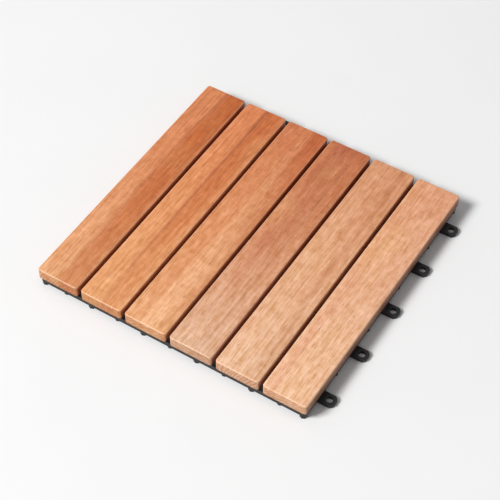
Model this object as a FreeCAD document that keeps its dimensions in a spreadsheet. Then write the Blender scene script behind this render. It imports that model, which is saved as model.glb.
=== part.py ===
import FreeCAD, Part
import os
import Sketcher
from math import hypot

# Interlocking deck tile: boards screwed from below to a moulded lattice base.
# Millimetres. The origin is on the floor under the middle of the tile, +Z is up,
# the boards run along Y and the joining loops stand out at +X and +Y.

# Driving sizes: name, value, meaning.
SIZES = (
    ("slat_count", 6, "boards side by side"),
    ("slat_width", 46.5, "width of one board"),
    ("slat_gap", 4.2, "drainage gap between two boards"),
    ("slat_thickness", 12, "thickness of a board"),
    ("slat_corner", 3, "corner radius of a board seen from above"),
    ("slat_bevel", 1.2, "bevel of a board's upper edges"),
    ("cell_count", 10, "lattice cells along one side"),
    ("frame_height", 5.5, "height of the lattice and its rim"),
    ("frame_inset", 1, "how far the rim stands in from the boards' edge"),
    ("frame_corner", 4, "corner radius of the rim"),
    ("rim_wall", 2.6, "thickness of the rim"),
    ("rib_wall", 2.2, "thickness of a lattice rib"),
    ("foot_height", 4.5, "height of the feet under the lattice"),
    ("foot_radius", 3.9, "radius of a foot over its corners"),
    ("foot_setback", 0.2, "how far an outer foot stands in from the rim's face"),
    ("inner_foot_sides", 4, "faces round an inner foot"),
    ("outer_foot_sides", 8, "faces round a foot at the rim"),
    ("peg_radius", 3, "radius of a joining peg"),
    ("peg_lift", 0.6, "height of a peg's end over the floor"),
    ("loop_play", 0.4, "clearance round a peg in its loop"),
    ("loop_wall", 3, "plastic round the hole of a loop"),
    ("loop_bevel", 2.8, "bevel of a loop's two outer corners"),
    ("loop_lift", 0.5, "height of a loop's underside over the floor"),
    ("loop_headroom", 0.4, "clearance of a loop under the next tile's rim"),
    ("loop_root", 6, "depth of the block that ties a loop to the rim"),
    ("joint_gap", 2, "gap between the boards of two joined tiles"),
    ("band_width", 14, "width of a screw band in the lattice"),
    ("band_thickness", 2.5, "thickness of a screw band"),
    ("screw_row_inner", 1.5, "lattice cells from the middle to the inner screws"),
    ("screw_row_outer", 4.5, "lattice cells from the middle to the outer screws"),
    ("screw_radius", 1.75, "radius of a screw's shank"),
    ("screw_length", 9.5, "length of a screw under its head"),
    ("head_radius", 3.4, "radius of a pan head"),
    ("head_height", 2.2, "height of a pan head"),
    ("head_sides", 8, "faces round a head"),
    ("shank_sides", 6, "faces round a shank and its holes"),
    ("shank_play", 0.25, "clearance round a shank in the base"),
    ("pilot_play", 0.05, "clearance round a shank in the wood"),
    ("pilot_spare", 0.6, "pilot hole left beyond the tip"),
)

# Sizes that follow from the driving ones.
PITCH = "(Sizes.slat_width + Sizes.slat_gap)"
SIDE = f"({PITCH} * Sizes.slat_count - Sizes.slat_gap)"
CELL = f"({SIDE} / Sizes.cell_count)"
HALF_CELLS = "(Sizes.cell_count / 2)"
FRAME_TOP = "(Sizes.foot_height + Sizes.frame_height)"
FRAME_SIDE = f"({SIDE} - 2 * Sizes.frame_inset)"
RIB_REACH = f"({FRAME_SIDE} - Sizes.rim_wall)"
FIRST_RIB = f"((1 - {HALF_CELLS}) * {CELL})"
SECOND_RIB = f"((2 - {HALF_CELLS}) * {CELL})"
OUTER_LINE = f"({SIDE} / 2 - Sizes.frame_inset - Sizes.foot_setback - Sizes.foot_radius)"
NEAR_LINE = f"(-{OUTER_LINE})"
LOOP_LINE = f"({SIDE} + Sizes.joint_gap - {OUTER_LINE})"
LOOP_HOLE = "(Sizes.peg_radius + Sizes.loop_play)"
LOOP_WIDTH = f"(2 * ({LOOP_HOLE} + Sizes.loop_wall))"
LOOP_TIP = f"({LOOP_LINE} + {LOOP_WIDTH} / 2)"
LOOP_HEIGHT = "(Sizes.foot_height - Sizes.loop_lift - Sizes.loop_headroom)"
ROOT_START = f"({FRAME_SIDE} / 2 - Sizes.loop_root)"
SEAT_HEIGHT = f"({FRAME_TOP} - Sizes.band_thickness)"
SCREW_ROWS = f"((Sizes.screw_row_outer - Sizes.screw_row_inner) * {CELL})"
FIRST_SCREW = (f"({CELL} / 2)", f"(Sizes.screw_row_inner * {CELL})")

# Rows of copies: spacing and count.
EVERY_RIB = (CELL, "Sizes.cell_count - 1")
EVERY_OTHER_RIB = (f"2 * {CELL}", f"{HALF_CELLS} - 1")
EVERY_PEG = (f"2 * {CELL}", HALF_CELLS)
ACROSS = (f"2 * {OUTER_LINE}", "2")

# Screws stand in every other cell along X, in two rows each side of the middle.
SCREW_GRID = (("X", f"2 * {CELL}", "Sizes.slat_count / 2"), ("Y", SCREW_ROWS, "2"))
SCREW_MIRRORS = ("YZ", "XZ")

doc = FreeCAD.newDocument("deck_tile")


def make_sheet():
    sheet = doc.addObject("Spreadsheet::Sheet", "Sizes")
    for row, (name, value, meaning) in enumerate(SIZES, start=1):
        sheet.set(f"A{row}", name)
        sheet.set(f"B{row}", str(value))
        sheet.set(f"C{row}", meaning)
        sheet.setAlias(f"B{row}", name)
    doc.recompute()
    return sheet


sheet = make_sheet()


def size(expression):
    """The present value of a size or of an expression on sizes."""
    return float(sheet.evalExpression(expression))


def make_body(name):
    body = doc.addObject("PartDesign::Body", name)
    body.Label = name
    body.AllowCompound = True
    return body


def origin_feature(body, role):
    return next(item for item in body.Origin.OriginFeatures if item.Role == role)


def new_sketch(body, name, x="0", y="0", z="0"):
    """A sketch on the body's own ground plane, its origin moved to x, y, z."""
    sketch = body.newObject("Sketcher::SketchObject", name)
    sketch.AttachmentSupport = [(origin_feature(body, "XY_Plane"), "")]
    sketch.MapMode = "FlatFace"
    sketch.setExpression("AttachmentOffset.Base.x", x)
    sketch.setExpression("AttachmentOffset.Base.y", y)
    sketch.setExpression("AttachmentOffset.Base.z", z)
    return sketch


def bind(sketch, kind, elements, name, expression):
    """A dimension of a sketch that follows an expression on sizes."""
    index = sketch.addConstraint(Sketcher.Constraint(kind, *elements, size(expression)))
    sketch.renameConstraint(index, name)
    sketch.setExpression(f"Constraints.{name}", expression)


def draw_circle(sketch, radius, name="radius"):
    centre = FreeCAD.Vector(0, 0, 0)
    up = FreeCAD.Vector(0, 0, 1)
    circle = sketch.addGeometry(Part.Circle(centre, up, size(radius)))
    sketch.addConstraint(Sketcher.Constraint("Coincident", circle, 3, -1, 1))
    bind(sketch, "Radius", (circle,), name, radius)


def draw_rectangle(sketch, width, depth, name="outline"):
    """A rectangle centred on the sketch's origin."""
    corners = plan_corners(size(width), size(depth))
    sides = [
        sketch.addGeometry(Part.LineSegment(corners[i], corners[(i + 1) % 4])) for i in range(4)
    ]
    for i in range(4):
        sketch.addConstraint(Sketcher.Constraint("Coincident", sides[i], 2, sides[(i + 1) % 4], 1))
        direction = "Horizontal" if i % 2 == 0 else "Vertical"
        sketch.addConstraint(Sketcher.Constraint(direction, sides[i]))
    sketch.addConstraint(Sketcher.Constraint("Symmetric", sides[0], 1, sides[2], 1, -1, 1))
    bind(sketch, "DistanceX", (sides[0], 1, sides[0], 2), f"{name}_width", width)
    bind(sketch, "DistanceY", (sides[1], 1, sides[1], 2), f"{name}_depth", depth)


def pad(body, name, sketch, length):
    feature = body.newObject("PartDesign::Pad", name)
    feature.Profile = sketch
    feature.setExpression("Length", length)
    doc.recompute()
    return feature


def pocket_up(body, name, sketch, length):
    """A pocket that is cut upwards from its sketch."""
    feature = body.newObject("PartDesign::Pocket", name)
    feature.Profile = sketch
    feature.Reversed = True
    feature.setExpression("Length", length)
    doc.recompute()
    return feature


def upright_form(body, kind, name, place, sizes):
    """A prism or cylinder that stands on x, y, z, with its own sizes."""
    feature = body.newObject(f"PartDesign::{kind}", name)
    feature.AttachmentSupport = [(origin_feature(body, "XY_Plane"), "")]
    feature.MapMode = "FlatFace"
    for axis, expression in zip("xyz", place):
        feature.setExpression(f"AttachmentOffset.Base.{axis}", expression)
    for size_name, expression in sizes.items():
        feature.setExpression(size_name, expression)
    doc.recompute()
    return feature


def add_step(body, transform, kind, name):
    step = doc.addObject(kind, name)
    body.addObject(step)
    transform.Transformations = transform.Transformations + [step]
    return step


def repeat(body, name, originals, rows, mirrors=()):
    """Copies in even rows, each given as axis, spacing and count, then mirrored."""
    transform = body.newObject("PartDesign::MultiTransform", name)
    transform.Originals = originals
    for axis, spacing, count in rows:
        step = add_step(body, transform, "PartDesign::LinearPattern", f"{name}_{axis}")
        step.Direction = (origin_feature(body, f"{axis}_Axis"), [""])
        step.Mode = "Spacing"
        step.setExpression("Offset", spacing)
        step.setExpression("Occurrences", count)
    for plane in mirrors:
        step = add_step(body, transform, "PartDesign::Mirrored", f"{name}_{plane}")
        step.MirrorPlane = (origin_feature(body, f"{plane}_Plane"), [""])
    body.Tip = transform
    doc.recompute()
    return transform


def edges_where(shape, test):
    return [f"Edge{i}" for i, edge in enumerate(shape.Edges, start=1) if test(edge)]


def upright_over(places):
    """A test for upright straight edges that stand over given points of the plan."""

    def test(edge):
        ends = [vertex.Point for vertex in edge.Vertexes]
        if len(ends) != 2 or abs(ends[0].z - ends[1].z) < 1e-6:
            return False
        return any(all(hypot(p.x - q.x, p.y - q.y) < 1e-6 for p in ends) for q in places)

    return test


def flat_face_at(shape, height):
    for i, face in enumerate(shape.Faces, start=1):
        box = face.BoundBox
        if abs(box.ZMin - height) < 1e-6 and abs(box.ZMax - height) < 1e-6:
            return f"Face{i}"


def plan_corners(width, depth):
    x = width / 2
    y = depth / 2
    return [FreeCAD.Vector(*place, 0) for place in ((-x, -y), (x, -y), (x, y), (-x, y))]


def dress(body, kind, name, base, edges, value_name, value):
    """A fillet or a chamfer of a feature's edges or faces."""
    feature = body.newObject(f"PartDesign::{kind}", name)
    feature.Base = (base, edges)
    feature.setExpression(value_name, value)
    doc.recompute()
    return feature


# Boards. Each is sawn and planed, with bevelled upper edges, and has blind pilot
# holes underneath for its screws.


def slat_line(index):
    return f"({PITCH} * ({index} - (Sizes.slat_count + 1) / 2))"


def pilot_offset(index):
    """How far the screws of a board lie from its middle line."""
    steps_out = f"({index} - (Sizes.slat_count + 1) / 2)"
    side = f"({steps_out} / abs({steps_out}))"
    return f"({side} * {CELL} * (2 * abs({steps_out}) - 0.5) - {slat_line(index)})"


def make_slat(index):
    body = make_body(f"slat_{index}")
    outline = new_sketch(body, "board_outline")
    draw_rectangle(outline, "Sizes.slat_width", SIDE)
    board = pad(body, "board", outline, "Sizes.slat_thickness")
    ends = plan_corners(size("Sizes.slat_width"), size(SIDE))
    corners = edges_where(board.Shape, upright_over(ends))
    board = dress(body, "Fillet", "corners", board, corners, "Radius", "Sizes.slat_corner")
    top = flat_face_at(board.Shape, size("Sizes.slat_thickness"))
    dress(body, "Chamfer", "upper_edges", board, [top], "Size", "Sizes.slat_bevel")
    pilot = {
        "Polygon": "Sizes.shank_sides",
        "Circumradius": "Sizes.screw_radius + Sizes.pilot_play",
        "Height": "Sizes.screw_length - Sizes.band_thickness + Sizes.pilot_spare",
    }
    place = (pilot_offset(index), FIRST_SCREW[1], "0")
    hole = upright_form(body, "SubtractivePrism", "pilot_hole", place, pilot)
    repeat(body, "pilot_holes", [hole], [("Y", SCREW_ROWS, "2")], ("XZ",))
    body.setExpression("Placement.Base.x", slat_line(index))
    body.setExpression("Placement.Base.z", FRAME_TOP)
    return body


# Base. One moulding: a rim with a lattice of ribs inside it, feet under the crossings,
# pegs under the rim at -X and -Y, and loops at +X and +Y that take the pegs of the
# next tile. Its forms are drawn one by one and then fused.


def make_rim():
    body = make_body("rim")
    outer_sketch = new_sketch(body, "rim_outer_sketch", z="Sizes.foot_height")
    draw_rectangle(outer_sketch, FRAME_SIDE, FRAME_SIDE)
    rim = pad(body, "rim_block", outer_sketch, "Sizes.frame_height")
    ends = plan_corners(size(FRAME_SIDE), size(FRAME_SIDE))
    corners = edges_where(rim.Shape, upright_over(ends))
    dress(body, "Fillet", "rim_corners", rim, corners, "Radius", "Sizes.frame_corner")
    inner_sketch = new_sketch(body, "rim_inner_sketch", z="Sizes.foot_height")
    inside = f"{FRAME_SIDE} - 2 * Sizes.rim_wall"
    draw_rectangle(inner_sketch, inside, inside)
    pocket_up(body, "rim_opening", inner_sketch, "Sizes.frame_height")
    return body


def make_ribs_along_x():
    body = make_body("ribs_along_x")
    sketch = new_sketch(body, "rib_x_sketch", y=FIRST_RIB, z="Sizes.foot_height")
    draw_rectangle(sketch, RIB_REACH, "Sizes.rib_wall")
    rib = pad(body, "rib_x", sketch, "Sizes.frame_height")
    repeat(body, "rib_row_x", [rib], [("Y", *EVERY_RIB)])
    return body


def make_ribs_along_y():
    body = make_body("ribs_along_y")
    sketch = new_sketch(body, "rib_y_sketch", x=FIRST_RIB, z="Sizes.foot_height")
    draw_rectangle(sketch, "Sizes.rib_wall", RIB_REACH)
    rib = pad(body, "rib_y", sketch, "Sizes.frame_height")
    repeat(body, "rib_row_y", [rib], [("X", *EVERY_RIB)])
    return body


def make_screw_bands():
    """Flat bands across the top of the lattice, with a hole for each screw."""
    body = make_body("screw_bands")
    x, y = FIRST_SCREW
    sketch = new_sketch(body, "band_sketch", y=y, z=SEAT_HEIGHT)
    draw_rectangle(sketch, RIB_REACH, "Sizes.band_width")
    band = pad(body, "band", sketch, "Sizes.band_thickness")
    repeat(body, "bands", [band], [("Y", SCREW_ROWS, "2")], ("XZ",))
    hole_sizes = {
        "Polygon": "Sizes.shank_sides",
        "Circumradius": "Sizes.screw_radius + Sizes.shank_play",
        "Height": "Sizes.band_thickness",
    }
    hole = upright_form(body, "SubtractivePrism", "screw_hole", (x, y, SEAT_HEIGHT), hole_sizes)
    repeat(body, "screw_holes", [hole], SCREW_GRID, SCREW_MIRRORS)
    return body


def make_feet(name, sides, place, row_x, row_y):
    body = make_body(name)
    foot_sizes = {
        "Polygon": sides,
        "Circumradius": "Sizes.foot_radius",
        "Height": "Sizes.foot_height",
    }
    foot = upright_form(body, "AdditivePrism", f"{name}_first", (*place, "0"), foot_sizes)
    repeat(body, f"{name}_grid", [foot], [("X", *row_x), ("Y", *row_y)])
    return body


def make_all_feet():
    """Feet under every crossing, and round the rim wherever no peg stands."""
    inner = "Sizes.inner_foot_sides"
    outer = "Sizes.outer_foot_sides"
    return [
        make_feet("inner_feet", inner, (FIRST_RIB, FIRST_RIB), EVERY_RIB, EVERY_RIB),
        make_feet("corner_feet", outer, (NEAR_LINE, NEAR_LINE), ACROSS, ACROSS),
        make_feet("end_feet", outer, (SECOND_RIB, NEAR_LINE), EVERY_OTHER_RIB, ACROSS),
        make_feet("side_feet", outer, (NEAR_LINE, SECOND_RIB), ACROSS, EVERY_OTHER_RIB),
    ]


def make_pegs(name, place, axis):
    """Round pegs under the rim, each to stand in a loop of the next tile."""
    body = make_body(name)
    peg_sizes = {
        "Radius": "Sizes.peg_radius",
        "Height": "Sizes.foot_height - Sizes.peg_lift",
    }
    peg_place = (*place, "Sizes.peg_lift")
    peg = upright_form(body, "AdditiveCylinder", f"{name}_first", peg_place, peg_sizes)
    repeat(body, f"{name}_row", [peg], [(axis, *EVERY_PEG)])
    return body


def make_loops(direction):
    """Flat loops low on a side, each tied to the rim by an upright block."""
    body = make_body(f"loops_{direction}")
    outward_x = direction == "x"

    def place(outward, along):
        return (outward, along) if outward_x else (along, outward)

    x, y = place(f"(({LOOP_TIP} + {ROOT_START}) / 2)", FIRST_RIB)
    tongue = new_sketch(body, f"tongue_{direction}_sketch", x, y, "Sizes.loop_lift")
    draw_rectangle(tongue, *place(f"({LOOP_TIP} - {ROOT_START})", LOOP_WIDTH))
    plate = pad(body, f"tongue_{direction}", tongue, LOOP_HEIGHT)
    line = size(FIRST_RIB)
    half_width = size(LOOP_WIDTH) / 2
    edges = (line - half_width, line + half_width)
    tips = [FreeCAD.Vector(*place(size(LOOP_TIP), edge)) for edge in edges]
    corners = edges_where(plate.Shape, upright_over(tips))
    name = f"tongue_{direction}_corners"
    bevelled = dress(body, "Chamfer", name, plate, corners, "Size", "Sizes.loop_bevel")
    x, y = place(LOOP_LINE, FIRST_RIB)
    hole_sketch = new_sketch(body, f"loop_hole_{direction}_sketch", x, y, "Sizes.loop_lift")
    draw_circle(hole_sketch, LOOP_HOLE)
    hole = pocket_up(body, f"loop_hole_{direction}", hole_sketch, LOOP_HEIGHT)
    x, y = place(f"({ROOT_START} + Sizes.loop_root / 2)", FIRST_RIB)
    root_sketch = new_sketch(body, f"loop_root_{direction}_sketch", x, y, "Sizes.loop_lift")
    draw_rectangle(root_sketch, *place("Sizes.loop_root", LOOP_WIDTH))
    root = pad(body, f"loop_root_{direction}", root_sketch, f"{FRAME_TOP} - Sizes.loop_lift")
    row = ("Y" if outward_x else "X", *EVERY_PEG)
    repeat(body, f"loop_row_{direction}", [plate, bevelled, hole, root], [row])
    return body


def make_base():
    forms = [make_rim(), make_ribs_along_x(), make_ribs_along_y(), make_screw_bands()]
    forms += make_all_feet()
    forms.append(make_pegs("pegs_on_y_side", (FIRST_RIB, NEAR_LINE), "X"))
    forms.append(make_pegs("pegs_on_x_side", (NEAR_LINE, FIRST_RIB), "Y"))
    forms += [make_loops("x"), make_loops("y")]
    base = doc.addObject("Part::MultiFuse", "base")
    base.Label = "base"
    base.Shapes = forms
    base.Refine = True
    doc.recompute()
    return base


# Screws. Pan heads under the bands, shanks up through them into the boards.


def make_screws():
    body = make_body("slat_screws")
    x, y = FIRST_SCREW
    head_sizes = {
        "Polygon": "Sizes.head_sides",
        "Circumradius": "Sizes.head_radius",
        "Height": "Sizes.head_height",
    }
    crown = f"({SEAT_HEIGHT} - Sizes.head_height)"
    head = upright_form(body, "AdditivePrism", "head", (x, y, crown), head_sizes)
    shank_sizes = {
        "Polygon": "Sizes.shank_sides",
        "Circumradius": "Sizes.screw_radius",
        "Height": "Sizes.screw_length",
    }
    shank = upright_form(body, "AdditivePrism", "shank", (x, y, SEAT_HEIGHT), shank_sizes)
    repeat(body, "screw_grid", [head, shank], SCREW_GRID, SCREW_MIRRORS)
    return body


def check_document():
    for item in doc.Objects:
        bad = [state for state in item.State if state in ("Invalid", "Error")]
        if bad:
            raise RuntimeError(f"{item.Name} is {bad}")


def write_step(body):
    shape = body.Shape
    if shape.isNull() or not shape.isValid():
        raise RuntimeError(f"{body.Label} has no valid shape")
    shape.exportStep(os.path.join("parts", f"{body.Label}.step"))
    print(body.Label, len(shape.Solids), "solids", round(shape.Volume / 1000, 2), "cm3")


pieces = [make_base(), make_screws()]
for index in range(1, int(size("Sizes.slat_count")) + 1):
    pieces.append(make_slat(index))
doc.recompute()
check_document()
os.makedirs("parts", exist_ok=True)
for piece in pieces:
    write_step(piece)
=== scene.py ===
from math import cos, pi, radians, sin

import bmesh
import bpy
from mathutils import Matrix, Vector


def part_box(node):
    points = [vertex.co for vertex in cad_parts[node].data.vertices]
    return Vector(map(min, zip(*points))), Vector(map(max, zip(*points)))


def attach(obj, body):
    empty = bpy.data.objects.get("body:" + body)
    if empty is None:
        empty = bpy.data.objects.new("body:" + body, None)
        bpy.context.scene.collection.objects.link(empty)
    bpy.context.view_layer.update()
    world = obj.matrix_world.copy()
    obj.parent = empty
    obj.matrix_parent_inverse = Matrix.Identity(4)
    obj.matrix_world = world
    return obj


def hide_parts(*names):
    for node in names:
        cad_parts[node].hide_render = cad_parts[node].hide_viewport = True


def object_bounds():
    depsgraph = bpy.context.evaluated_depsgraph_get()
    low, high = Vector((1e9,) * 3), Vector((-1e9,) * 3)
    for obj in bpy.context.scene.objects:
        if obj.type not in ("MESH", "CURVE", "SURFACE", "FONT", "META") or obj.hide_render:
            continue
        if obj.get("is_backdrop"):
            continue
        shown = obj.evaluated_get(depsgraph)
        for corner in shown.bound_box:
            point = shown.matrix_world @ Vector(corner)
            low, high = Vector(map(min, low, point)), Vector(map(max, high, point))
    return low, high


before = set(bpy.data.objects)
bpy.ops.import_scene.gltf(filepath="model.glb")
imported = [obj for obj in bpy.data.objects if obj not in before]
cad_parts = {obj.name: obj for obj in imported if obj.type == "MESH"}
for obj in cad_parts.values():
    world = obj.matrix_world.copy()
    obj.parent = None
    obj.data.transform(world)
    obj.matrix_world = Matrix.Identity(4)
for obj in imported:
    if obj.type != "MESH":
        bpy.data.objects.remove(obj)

cad_low, cad_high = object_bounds()


# Boards. Six planed slats of a tropical hardwood, 300 by 46.5 by 12 mm, oiled, with
# rounded upper edges. Each is sawn from another log, so tone and figure differ, and
# each is held by four screws that come up through the base.
CORNER_RADIUS = 0.003
UPPER_EDGE_RADIUS = 0.0012
LOWER_EDGE_BREAK = 0.0003
SAME_HEIGHT = 0.0001

# The lines that the screws stand on, one line along each board, and the blind holes
# drilled for them.
SCREW_LINES_X = (-0.135, -0.075, -0.015, 0.015, 0.075, 0.135)
SCREW_LINES_Y = (-0.135, -0.045, 0.045, 0.135)
PILOT_RADIUS = 0.0018
PILOT_DEPTH = 0.0076
DRILL_OUTSIDE = 0.001
DRILL_SIDES = 24

# A face that looks along an axis is shaded flat, and an edge sharper than this stays
# sharp.
ALONG_AN_AXIS = 0.9999
SHARP_ANGLE = radians(40)


def tone(red, green, blue):
    """A colour as a screen shows it, from 0 to 255, in the numbers that a shader takes."""

    def part(value):
        value /= 255
        return value / 12.92 if value < 0.04045 else ((value + 0.055) / 1.055) ** 2.4

    return (part(red), part(green), part(blue), 1)


# Each board's tone at its near end, its middle and its far end, and the darker or paler
# streaks that run along it: how far from its middle line, how wide to each side, how
# strong at the near and at the far end, and their colour. The paler near end and darker
# far end are partly the wood's own tone and partly painted light, a falloff along the
# board. Then how far the log's pith lies from the board's middle line and above the
# floor, and how strongly the growth rings show.
BOARDS = {
    "slat_1": {
        "tones_and_painted_falloff": (tone(231, 168, 118), tone(223, 144, 95), tone(220, 133, 82)),
        "streaks": (
            (0.0125, 0.0125, 0.44, 0.98, tone(192, 94, 30)),
            (0.0012, 0.0018, 0.16, 0.58, tone(176, 94, 52)),
        ),
        "pith": (0.060, -0.030),
        "rings": 0.156,
    },
    "slat_2": {
        "tones_and_painted_falloff": (tone(232, 166, 113), tone(230, 152, 99), tone(225, 134, 84)),
        "streaks": (
            (0.0100, 0.0110, 0.20, 0.75, tone(200, 101, 40)),
            (0.0022, 0.0020, 0.20, 0.80, tone(166, 88, 48)),
        ),
        "pith": (-0.045, -0.022),
        "rings": 0.168,
    },
    "slat_3": {
        "tones_and_painted_falloff": (tone(234, 170, 120), tone(223, 145, 95), tone(212, 125, 76)),
        "streaks": (
            (0.0150, 0.0085, -0.12, 0.92, tone(194, 92, 30)),
            (0.0090, 0.0120, 0.70, 0.00, tone(250, 192, 144)),
        ),
        "pith": (0.020, -0.060),
        "rings": 0.108,
    },
    "slat_4": {
        "tones_and_painted_falloff": (tone(232, 186, 151), tone(223, 150, 104), tone(196, 109, 62)),
        "streaks": (
            (-0.0070, 0.0110, -0.04, 0.62, tone(176, 88, 58)),
            (0.0090, 0.0030, 0.10, 0.35, tone(170, 96, 66)),
        ),
        "pith": (-0.030, -0.045),
        "rings": 0.192,
    },
    "slat_5": {
        "tones_and_painted_falloff": (tone(237, 189, 152), tone(230, 167, 123), tone(221, 152, 109)),
        "streaks": (
            (0.0120, 0.0034, 0.20, 0.60, tone(198, 126, 82)),
            (-0.0120, 0.0080, 0.20, 0.08, tone(240, 192, 150)),
        ),
        "pith": (0.075, -0.020),
        "rings": 0.156,
    },
    "slat_6": {
        "tones_and_painted_falloff": (tone(243, 193, 153), tone(238, 181, 142), tone(232, 163, 122)),
        "streaks": (
            (-0.0150, 0.0060, 0.40, 0.48, tone(220, 150, 112)),
            (0.0060, 0.0050, 0.00, 0.10, tone(214, 142, 104)),
        ),
        "pith": (0.040, -0.085),
        "rings": 0.108,
    },
}
RED_HEART = tone(196, 104, 68)
GOLDEN_PATCH = tone(242, 184, 122)
PORE_BROWN = tone(134, 60, 20)
END_BROWN = tone(164, 98, 62)
# Painted shade for the board sides in the gaps and over the loops.
PAINTED_GAP_SHADE = tone(122, 40, 16)
# A painted highlight for the rounded upper edges.
EDGE_HIGHLIGHT_TONE = tone(250, 214, 178)

# Where the three tones stand along a board, in shares of its length, and where a streak
# begins and ends to fade, in shares of its width. The rings drift along the board and
# wander with their pith. A darker fibre is warmer: it loses least red and most blue.
TONE_PLACES = (0.06, 0.50, 0.96)
STREAK_CORE = 0.45
STREAK_RIM = 1.30
RINGS_A_METRE = 300
RING_DRIFT = 2.6
RING_NARROWNESS = 2.2
PITH_WANDER = 0.022
WARMTH = (0.62, 1.08, 1.75)
MEAN_LIGHT = 1.01

# How far inside a board's faces the tone of each part begins, and where it is full.
END_GRAIN = (0.0006, 0.0001)
SIDE_FACE = (0.0005, 0.0001)
ROUNDED_EDGE = (0.0013, 0.0003)
UPPER_FACE = (0.0013, 0.0005)
# GAP_MOUTH and OUTER_LEFT: where the painted shade on the board sides starts under the upper
# face, and the tile's left side, which takes none.
GAP_MOUTH = (0.0055, 0.0014)
OUTER_LEFT = (0.0002, 0.0012)


def round_over(mesh, edges, radius, segments):
    """Rounds edges over, or with one segment only breaks them."""
    bmesh.ops.bevel(
        mesh,
        geom=edges,
        offset=radius,
        segments=segments,
        profile=0.5,
        affect="EDGES",
        material=-1,
    )


def edges_at(mesh, height):
    """The edges that lie level at a height."""
    return [
        edge
        for edge in mesh.edges
        if all(abs(vert.co.z - height) < SAME_HEIGHT for vert in edge.verts)
    ]


def board_blank(low, high):
    """A planed board with its corners and upper edges rounded and its lower ones broken."""
    mesh = bmesh.new()
    bmesh.ops.create_cube(mesh, size=1.0)
    bmesh.ops.scale(mesh, vec=high - low, verts=mesh.verts)
    bmesh.ops.translate(mesh, vec=(low + high) / 2, verts=mesh.verts)
    level = edges_at(mesh, low.z) + edges_at(mesh, high.z)
    upright = [edge for edge in mesh.edges if edge not in level]
    round_over(mesh, upright, CORNER_RADIUS, segments=6)
    round_over(mesh, edges_at(mesh, high.z), UPPER_EDGE_RADIUS, segments=4)
    round_over(mesh, edges_at(mesh, low.z), LOWER_EDGE_BREAK, segments=1)
    return mesh


def pilot_drills(x, z):
    """Four upright rods, which reach as far up into a board as its pilot holes."""
    mesh = bmesh.new()
    for y in SCREW_LINES_Y:
        middle = Vector((x, y, z + (PILOT_DEPTH - DRILL_OUTSIDE) / 2))
        bmesh.ops.create_cone(
            mesh,
            cap_ends=True,
            segments=DRILL_SIDES,
            radius1=PILOT_RADIUS,
            radius2=PILOT_RADIUS,
            depth=PILOT_DEPTH + DRILL_OUTSIDE,
            matrix=Matrix.Translation(middle),
        )
    return mesh


def mesh_object(name, mesh):
    """A piece made of a bmesh: its level and upright sides flat, the rest smooth between
    its sharp edges."""
    mesh.normal_update()
    for face in mesh.faces:
        face.smooth = max(abs(part) for part in face.normal) < ALONG_AN_AXIS
    data = bpy.data.meshes.new(name)
    mesh.to_mesh(data)
    mesh.free()
    data.set_sharp_from_angle(angle=SHARP_ANGLE)
    made = bpy.data.objects.new(name, data)
    bpy.context.scene.collection.objects.link(made)
    return made


def cut_away(blank, tool):
    """A form with another taken out of it."""
    piece = mesh_object("blank", blank)
    cutter = mesh_object("cutter", tool)
    cut = piece.modifiers.new("cut", "BOOLEAN")
    cut.operation = "DIFFERENCE"
    cut.solver = "EXACT"
    cut.object = cutter
    shaped = bpy.data.meshes.new_from_object(
        piece.evaluated_get(bpy.context.evaluated_depsgraph_get())
    )
    mesh = bmesh.new()
    mesh.from_mesh(shaped)
    for made in (piece, cutter):
        bpy.data.objects.remove(made)
    bpy.data.meshes.remove(shaped)
    return mesh


class Value:
    """What a socket gives at each point of a surface, with the sums and products of maths."""

    def __init__(self, nodes, socket):
        self.nodes = nodes
        self.socket = socket

    def __add__(self, other):
        return self.nodes.maths("ADD", self, other)

    def __radd__(self, other):
        return self.nodes.maths("ADD", other, self)

    def __sub__(self, other):
        return self.nodes.maths("SUBTRACT", self, other)

    def __rsub__(self, other):
        return self.nodes.maths("SUBTRACT", other, self)

    def __mul__(self, other):
        return self.nodes.maths("MULTIPLY", self, other)

    def __rmul__(self, other):
        return self.nodes.maths("MULTIPLY", other, self)

    def __pow__(self, other):
        return self.nodes.maths("POWER", self, other)

    def __abs__(self):
        return self.nodes.maths("ABSOLUTE", self)


class Nodes:
    """A node tree in the making, empty at first."""

    def __init__(self, tree):
        self.tree = tree
        self.tree.nodes.clear()

    def node(self, kind, settings=None, sockets=None, output=0):
        """Adds a node, its settings first and then its sockets, and gives what it puts out."""
        made = self.tree.nodes.new(kind)
        for name, value in (settings or {}).items():
            if name == "stops":
                self.set_stops(made.color_ramp, value)
            else:
                setattr(made, name, value)
        for name, value in (sockets or {}).items():
            if isinstance(value, Value):
                self.tree.links.new(value.socket, made.inputs[name])
            else:
                made.inputs[name].default_value = value
        return Value(self, made.outputs[output]) if made.outputs else None

    def set_stops(self, ramp, stops):
        ramp.interpolation = "B_SPLINE"
        while len(ramp.elements) < len(stops):
            ramp.elements.new(0.5)
        for element, (position, colour) in zip(ramp.elements, stops):
            element.position = position
            element.color = colour

    def maths(self, operation, *numbers):
        return self.node("ShaderNodeMath", {"operation": operation}, dict(enumerate(numbers)))


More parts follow.
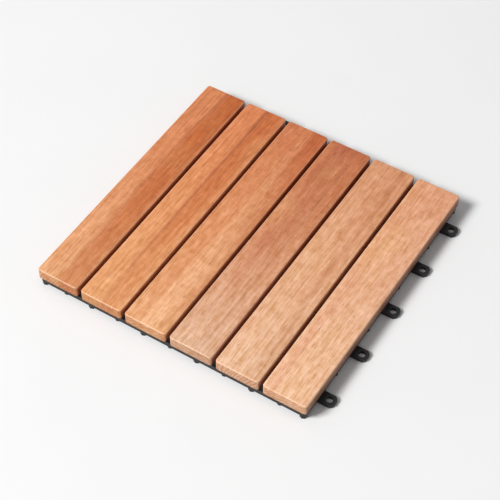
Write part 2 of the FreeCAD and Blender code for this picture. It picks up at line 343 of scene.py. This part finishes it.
class Finish(Nodes):
    """A material in the making: its place on the piece, its patterns and its shader."""

    def __init__(self, name):
        self.material = bpy.data.materials.new(name)
        self.material.use_nodes = True
        super().__init__(self.material.node_tree)
        self.place = self.node("ShaderNodeTexCoord", output="Object")
        self.x, self.y, self.z = (
            self.node("ShaderNodeSeparateXYZ", sockets={"Vector": self.place}, output=axis)
            for axis in "XYZ"
        )

    def noise(self, scale, shift=(0, 0, 0), detail=2.0, roughness=0.5):
        """Cloudy noise between 0 and 1, with so many clouds a metre along each axis."""
        sockets = {"Vector": self.place, "Location": shift, "Scale": scale}
        sockets = {
            "Vector": self.node("ShaderNodeMapping", sockets=sockets),
            "Scale": 1.0,
            "Detail": detail,
            "Roughness": roughness,
        }
        return self.node("ShaderNodeTexNoise", sockets=sockets)

    def step(self, value, start, end):
        """0 before start, 1 after end, and smooth between them."""
        settings = {"interpolation_type": "SMOOTHSTEP"}
        sockets = {0: value, 1: start, 2: end, 3: 0.0, 4: 1.0}
        return self.node("ShaderNodeMapRange", settings, sockets)

    def close_to(self, limit, value, reach):
        """1 close to a limit and 0 well below it, between the two depths of a reach."""
        begins, full = reach
        return self.step(value, limit - begins, limit - full)

    def ramp(self, value, stops):
        """A colour from a row of colours that pass smoothly into each other."""
        return self.node("ShaderNodeValToRGB", {"stops": stops}, {0: value})

    def mix(self, share, first, second):
        """Two colours mixed, by a share that is 0 for the first and 1 for the second."""
        settings = {"data_type": "RGBA", "clamp_factor": True}
        return self.node("ShaderNodeMix", settings, {0: share, 6: first, 7: second}, output=2)

    def bump(self, height, distance, strength, normal=None):
        """Small relief, over the surface as it is or over a normal of its own."""
        sockets = {"Height": height, "Distance": distance, "Strength": strength}
        if normal is not None:
            sockets["Normal"] = normal
        return self.node("ShaderNodeBump", sockets=sockets)

    def soft_edges(self, radius):
        """The surface's normal, rounded over its sharp edges."""
        return self.node("ShaderNodeBevel", {"samples": 6}, {"Radius": radius})

    def shade(self, sockets):
        """The finished material, from what goes into its shader's sockets."""
        shader = self.node("ShaderNodeBsdfPrincipled", sockets=sockets)
        self.node("ShaderNodeOutputMaterial", sockets={"Surface": shader})
        return self.material


def growth_rings(finish, across, pith, shift):
    """Rings round a pith that lies under the board and wanders along it, 1 at their
    dark lines."""
    pith_x, pith_z = pith
    wander = finish.noise((3, 3.2, 3), shift, detail=1.0) - 0.5
    side_way = across - pith_x + wander * PITH_WANDER
    up_way = finish.z - pith_z
    radius = finish.maths("SQRT", side_way * side_way + up_way * up_way)
    drift = finish.noise((70, 2.4, 70), shift, detail=2.0)
    turns = radius * RINGS_A_METRE + drift * RING_DRIFT
    wave = finish.maths("SINE", turns * (2 * pi)) * 0.5 + 0.5
    return wave ** RING_NARROWNESS


def oiled_hardwood(name, board, seed):
    """A board's wood: rings, fibres and pores, tone and streaks, then ends, a painted shade on
    its sides and a painted highlight on its rounded edges.
    """
    low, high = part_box(name)
    middle = (low + high) / 2
    half_width = (high.x - low.x) / 2
    half_length = (high.y - low.y) / 2
    finish = Finish(f"{name}_oiled_hardwood")
    shift = (seed * 7.3, seed * 3.1, seed * 5.7)
    across = finish.x - middle.x
    ring = growth_rings(finish, across, board["pith"], shift)

    # Fibres, pores and the faint cross figure of interlocked grain.
    fibre = finish.noise((1500, 16, 1500), shift, detail=3.0, roughness=0.6)
    band = finish.noise((150, 3.0, 150), shift, detail=3.0, roughness=0.55)
    pores = finish.step(finish.noise((2300, 105, 2300), shift, detail=1.0), 0.64, 0.74)
    ripple = finish.noise((95, 210, 95), shift, detail=2.0, roughness=0.6)
    mottle = finish.noise((260, 70, 260), shift, detail=2.0, roughness=0.5)
    patch = finish.noise((22, 9, 22), shift, detail=2.0)

    # Tone along the board, from its near end to its far end, partly painted light falling
    # off along it, and its streaks.
    length = finish.y * (0.5 / half_length) + 0.5
    wavy_length = length + (band - 0.5) * 0.5
    colour = finish.ramp(wavy_length, list(zip(TONE_PLACES, board["tones_and_painted_falloff"])))
    bend = finish.noise((2, 6, 2), shift, detail=1.0) - 0.5
    line = across + bend * 0.010 + (band - 0.5) * 0.008 + (fibre - 0.5) * 0.004
    for centre, spread, near_share, far_share, streak_tone in board["streaks"]:
        outside = finish.step(abs(line - centre), spread * STREAK_CORE, spread * STREAK_RIM)
        share = (1 - outside) * (length * (far_share - near_share) + near_share)
        colour = finish.mix(share, colour, streak_tone)
    colour = finish.mix(finish.step(patch, 0.54, 0.82) * 0.30, colour, GOLDEN_PATCH)
    colour = finish.mix((1 - finish.step(patch, 0.22, 0.46)) * 0.24, colour, RED_HEART)
    main_streak_tone = board["streaks"][0][-1]
    colour = finish.mix(ring * board["rings"], colour, main_streak_tone)

    # Fibre by fibre lighter or darker, and the pores as short dark dashes.
    light = (fibre - 0.5) * 1.00 + (band - 0.5) * 0.42 + (mottle - 0.5) * 0.85
    light = light + (ripple - 0.5) * 0.42
    tints = [light * warmth + MEAN_LIGHT for warmth in WARMTH]
    tint = finish.node("ShaderNodeCombineXYZ", sockets=dict(enumerate(tints)))
    settings = {"operation": "MULTIPLY"}
    colour = finish.node("ShaderNodeVectorMath", settings, {0: colour, 1: tint})
    colour = finish.mix(pores * 0.55, colour, PORE_BROWN)

    # The sawn ends drink more oil. The sides in the gaps and over the loops take a painted
    # shade below their rounded edges, where little light reaches; the tile's left side, in
    # the open, takes none.
    ends = finish.close_to(half_length, abs(finish.y), END_GRAIN)
    colour = finish.mix(ends * (0.14 + ring * 0.36), colour, END_BROWN)
    sides = finish.close_to(half_width, abs(across), SIDE_FACE)
    mouth = finish.close_to(high.z, finish.z, GAP_MOUTH)
    begins, full = OUTER_LEFT
    off_left_side = finish.step(finish.x, cad_low.x + begins, cad_low.x + full)
    dark = sides * (1 - mouth) * off_left_side
    colour = finish.mix(dark * 0.68, colour, PAINTED_GAP_SHADE)

    # The rounded upper edges take a painted highlight: a paler tone along them on every side.
    edge_x = finish.close_to(half_width, abs(across), ROUNDED_EDGE)
    edge_y = finish.close_to(half_length, abs(finish.y), ROUNDED_EDGE)
    top = finish.close_to(high.z, finish.z, UPPER_FACE)
    painted_edge_highlight = finish.maths("MAXIMUM", edge_x, edge_y) * top
    colour = finish.mix(painted_edge_highlight * 0.42, colour, EDGE_HIGHLIGHT_TONE)

    height = fibre * 0.55 + ring * 0.18 - pores * 0.9 + ripple * 0.25
    return finish.shade({
        "Base Color": colour,
        "Roughness": 0.46 + (fibre - 0.5) * 0.22 + pores * 0.25 + ends * 0.16,
        "Normal": finish.bump(height, distance=0.00022, strength=0.55),
    })


for number, (name, board) in enumerate(BOARDS.items(), start=1):
    low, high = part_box(name)
    drills = pilot_drills(SCREW_LINES_X[number - 1], low.z)
    plank = mesh_object(f"board_{number}", cut_away(board_blank(low, high), drills))
    plank.data.materials.append(oiled_hardwood(name, board, number))
    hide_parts(name)
    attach(plank, "root")


# Base. One injection moulding of black polypropylene, 298 mm square: a rim, a lattice
# of ribs, feet under the crossings, pegs on two sides and loops on the other two. The
# boards are screwed down on it.
PLASTIC_BLACK = tone(14, 14, 15)
FLOW_BLACK = tone(22, 22, 24)
SCUFF_GREY = tone(78, 77, 76)
DUST_GREY = tone(112, 103, 92)
SOLE_GREY = tone(112, 108, 104)
SOLE_HEIGHT = (0.0002, 0.0009)
MOULDED_EDGE_RADIUS = 0.0004


def moulded_plastic():
    """Black with faint flow marks, scuffs and dust, and worn grey where it stands."""
    finish = Finish("black_moulded_plastic")
    grain = finish.noise((2600, 2600, 2600), detail=2.0, roughness=0.6)
    flow = finish.noise((28, 28, 60), detail=3.0)
    scuff_cloud = finish.noise((240, 900, 500), (3, 1, 2), detail=3.0, roughness=0.65)
    scuffs = finish.step(scuff_cloud, 0.60, 0.80)
    dust_cloud = finish.noise((70, 70, 70), (9, 4, 1), detail=4.0, roughness=0.6)
    dust = finish.step(dust_cloud, 0.45, 0.85)
    soles = 1 - finish.step(finish.z, *SOLE_HEIGHT)
    colour = finish.mix(flow, PLASTIC_BLACK, FLOW_BLACK)
    colour = finish.mix(scuffs * 0.16, colour, SCUFF_GREY)
    colour = finish.mix(dust * 0.06, colour, DUST_GREY)
    colour = finish.mix(soles * (0.25 + scuffs * 0.4), colour, SOLE_GREY)
    relief = grain * 0.7 + scuffs * 0.5 + flow * 0.6
    edges = finish.soft_edges(MOULDED_EDGE_RADIUS)
    return finish.shade({
        "Base Color": colour,
        "Specular IOR Level": 0.32,
        "Roughness": 0.30 + grain * 0.12 + scuffs * 0.22 + dust * 0.10,
        "Normal": finish.bump(relief, distance=0.00010, strength=0.5, normal=edges),
    })


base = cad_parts["base"]
base.data.materials.clear()
base.data.materials.append(moulded_plastic())


# Screws. Four stainless pan-head screws, 3.5 by 9.5 mm, hold each board: their heads
# sit under the flat bands of the base and have a cross recess for the driver.
SHANK_RADIUS = 0.00175
SHANK_LENGTH = 0.0095
POINT_LENGTH = 0.0012
HEAD_RADIUS = 0.0034
HEAD_HEIGHT = 0.0022
HEAD_ROUND = 0.0013
HEAD_EDGE_BREAK = 0.0001
HEAD_STEPS = 6
SCREW_SIDES = 32
SCREW_SEAT = 0.0075
CROWN = SCREW_SEAT - HEAD_HEIGHT
RECESS_REACH = 0.0019
RECESS_HALF_WIDTH = 0.00045
RECESS_DEPTH = 0.0015
RECESS_TAPER = 0.5
TIP_OUTSIDE = 0.0005
SAME_POINT = 1e-6
STEEL = tone(206, 205, 201)
STEEL_STAIN = tone(158, 152, 143)


def turned_screw():
    """A screw turned about its own upright axis, with its head down."""
    mesh = bmesh.new()
    outline = []
    for step in range(HEAD_STEPS + 1):
        turn = radians(90 * step / HEAD_STEPS)
        outline.append((
            HEAD_RADIUS - HEAD_ROUND + HEAD_ROUND * sin(turn),
            CROWN + HEAD_ROUND - HEAD_ROUND * cos(turn),
        ))
    outline += [
        (HEAD_RADIUS, SCREW_SEAT - HEAD_EDGE_BREAK),
        (HEAD_RADIUS - HEAD_EDGE_BREAK, SCREW_SEAT),
        (SHANK_RADIUS, SCREW_SEAT),
        (SHANK_RADIUS, SCREW_SEAT + SHANK_LENGTH - POINT_LENGTH),
        (0.0, SCREW_SEAT + SHANK_LENGTH),
    ]
    points = [mesh.verts.new((radius, 0, z)) for radius, z in outline]
    edges = [mesh.edges.new(pair) for pair in zip(points, points[1:])]
    bmesh.ops.spin(
        mesh,
        geom=points + edges,
        axis=(0, 0, 1),
        cent=(0, 0, 0),
        dvec=(0, 0, 0),
        angle=2 * pi,
        steps=SCREW_SIDES,
        use_merge=True,
    )
    bmesh.ops.remove_doubles(mesh, verts=mesh.verts, dist=SAME_POINT)
    bmesh.ops.holes_fill(mesh, edges=mesh.edges, sides=0)
    bmesh.ops.recalc_face_normals(mesh, faces=mesh.faces)
    return mesh


def driver_tip():
    """The form that a cross-point driver leaves in a head: a plus that narrows upwards."""
    mesh = bmesh.new()
    arm = (
        (RECESS_REACH, -RECESS_HALF_WIDTH),
        (RECESS_REACH, RECESS_HALF_WIDTH),
        (RECESS_HALF_WIDTH, RECESS_HALF_WIDTH),
    )
    outline = []
    for quarter in range(4):
        turn = Matrix.Rotation(radians(90 * quarter), 3, "Z")
        outline += [turn @ Vector((*place, CROWN - TIP_OUTSIDE)) for place in arm]
    mouth = mesh.faces.new([mesh.verts.new(place) for place in outline])
    grown = bmesh.ops.extrude_face_region(mesh, geom=[mouth])["geom"]
    deep = [item for item in grown if isinstance(item, bmesh.types.BMVert)]
    bmesh.ops.translate(mesh, vec=(0, 0, RECESS_DEPTH + TIP_OUTSIDE), verts=deep)
    bmesh.ops.scale(mesh, vec=(RECESS_TAPER, RECESS_TAPER, 1.0), verts=deep)
    bmesh.ops.holes_fill(mesh, edges=mesh.edges, sides=0)
    bmesh.ops.recalc_face_normals(mesh, faces=mesh.faces)
    return mesh


def stainless_steel():
    """Turned bright steel with fine brush lines and a few dull stains."""
    finish = Finish("stainless_steel")
    brushed = finish.noise((900, 900, 5200), detail=2.0)
    stain = finish.step(finish.noise((420, 420, 420), detail=2.0), 0.50, 0.80)
    return finish.shade({
        "Base Color": finish.mix(stain * 0.5, STEEL, STEEL_STAIN),
        "Metallic": 1.0,
        "Roughness": 0.24 + brushed * 0.16 + stain * 0.16,
        "Normal": finish.bump(brushed, distance=0.00004, strength=0.4),
    })


# The driver leaves each screw's recess turned another way.
one_screw = bpy.data.meshes.new("one_screw")
cut_away(turned_screw(), driver_tip()).to_mesh(one_screw)
screws = bmesh.new()
for row, y in enumerate(SCREW_LINES_Y):
    for column, x in enumerate(SCREW_LINES_X):
        driven = one_screw.copy()
        turn = Matrix.Rotation(radians(37 * row + 61 * column), 4, "Z")
        driven.transform(Matrix.Translation((x, y, 0)) @ turn)
        screws.from_mesh(driven)
        bpy.data.meshes.remove(driven)
bpy.data.meshes.remove(one_screw)
screw_set = mesh_object("cross_recess_screws", screws)
screw_set.data.materials.append(stainless_steel())
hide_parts("slat_screws")
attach(screw_set, "root")


# Floor. A plain matt white studio floor under the tile, not part of it. It throws little
# light back up, and away from the tile it passes into the even pale tone of the room.
FLOOR_HALF_SIDE = 6.0
FADE_DISTANCE = (0.6, 2.2)
FLOOR_BOUNCE = tone(138, 136, 134)
FLOOR_WHITE = tone(248, 248, 248)
FLOOR_CLOUD = tone(252, 252, 252)
ROOM_WHITE = tone(244, 244, 244)


def seen_itself(nodes):
    """1 for rays that show the background: to the eye, by reflection or through glass."""
    seen = nodes.node("ShaderNodeLightPath", output="Is Camera Ray")
    for ray in ("Is Glossy Ray", "Is Transmission Ray"):
        seen = nodes.maths("MAXIMUM", seen, nodes.node("ShaderNodeLightPath", output=ray))
    return seen


def studio_white():
    """Matt white under and round the tile, fading into the plain tone of the room."""
    finish = Finish("studio_white")
    seen = seen_itself(finish)
    cloud = finish.noise((9, 9, 9), detail=3.0)
    colour = finish.mix(seen, FLOOR_BOUNCE, finish.mix(cloud, FLOOR_WHITE, FLOOR_CLOUD))
    sockets = {"Base Color": colour, "Roughness": 0.9}
    matt = finish.node("ShaderNodeBsdfPrincipled", sockets=sockets)
    sockets = {"Color": ROOM_WHITE, "Strength": 1.0}
    plain = finish.node("ShaderNodeEmission", sockets=sockets)
    distance = finish.maths("SQRT", finish.x * finish.x + finish.y * finish.y)
    share = finish.step(distance, *FADE_DISTANCE) * seen
    blend = finish.node("ShaderNodeMixShader", sockets={0: share, 1: matt, 2: plain})
    finish.node("ShaderNodeOutputMaterial", sockets={"Surface": blend})
    return finish.material


floor_mesh = bmesh.new()
bmesh.ops.create_grid(floor_mesh, x_segments=1, y_segments=1, size=FLOOR_HALF_SIDE)
floor = mesh_object("studio_floor", floor_mesh)
floor.data.materials.append(studio_white())
floor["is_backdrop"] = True


# Light. A large soft lamp to the left and in front, above the tile, and an even pale
# room round it. The side with the loops stays in shade.
LAMP_PLACE = Vector((-2.8, -4.4, 5.2))
LAMP_WIDTH = 2.3
LAMP_WATTS = 522
ROOM_STRENGTH = 0.28

key_light = bpy.data.lights.new("key_lamp", "AREA")
key_light.shape = "SQUARE"
key_light.size = LAMP_WIDTH
key_light.energy = LAMP_WATTS
key_lamp = bpy.data.objects.new("key_lamp", key_light)
key_lamp.location = LAMP_PLACE
key_lamp.rotation_mode = "QUATERNION"
key_lamp.rotation_quaternion = (-LAMP_PLACE).to_track_quat("-Z", "Y")
bpy.context.scene.collection.objects.link(key_lamp)

world = bpy.data.worlds.new("pale_room")
world.use_nodes = True
room = Nodes(world.node_tree)
sockets = {"Color": (1, 1, 1, 1), "Strength": ROOM_STRENGTH}
room_light = room.node("ShaderNodeBackground", sockets=sockets)
sockets = {"Color": ROOM_WHITE, "Strength": 1.0}
room_seen = room.node("ShaderNodeBackground", sockets=sockets)
sockets = {0: seen_itself(room), 1: room_light, 2: room_seen}
room_blend = room.node("ShaderNodeMixShader", sockets=sockets)
room.node("ShaderNodeOutputWorld", sockets={"Surface": room_blend})
bpy.context.scene.world = world


# Camera. It looks down at 50 degrees over the corner between the board ends and the
# side with the loops, from as far away and through as long a lens as the photograph.
EYE_TURN = radians(32.2)
EYE_RISE = radians(50)
EYE_DISTANCE = 1.435
AIM = Vector((0.0099, -0.0214, 0.022))
LENS_LENGTH = 106.8
SENSOR_WIDTH = 36

back = Vector((cos(EYE_RISE) * sin(EYE_TURN), -cos(EYE_RISE) * cos(EYE_TURN), sin(EYE_RISE)))
lens = bpy.data.cameras.new("camera")
lens.lens = LENS_LENGTH
lens.sensor_width = SENSOR_WIDTH
camera = bpy.data.objects.new("camera", lens)
camera.location = AIM + back * EYE_DISTANCE
camera.rotation_mode = "QUATERNION"
camera.rotation_quaternion = (-back).to_track_quat("-Z", "Y")
bpy.context.scene.collection.objects.link(camera)
bpy.context.scene.camera = camera
bpy.context.scene.view_settings.view_transform = "Standard"

low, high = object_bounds()
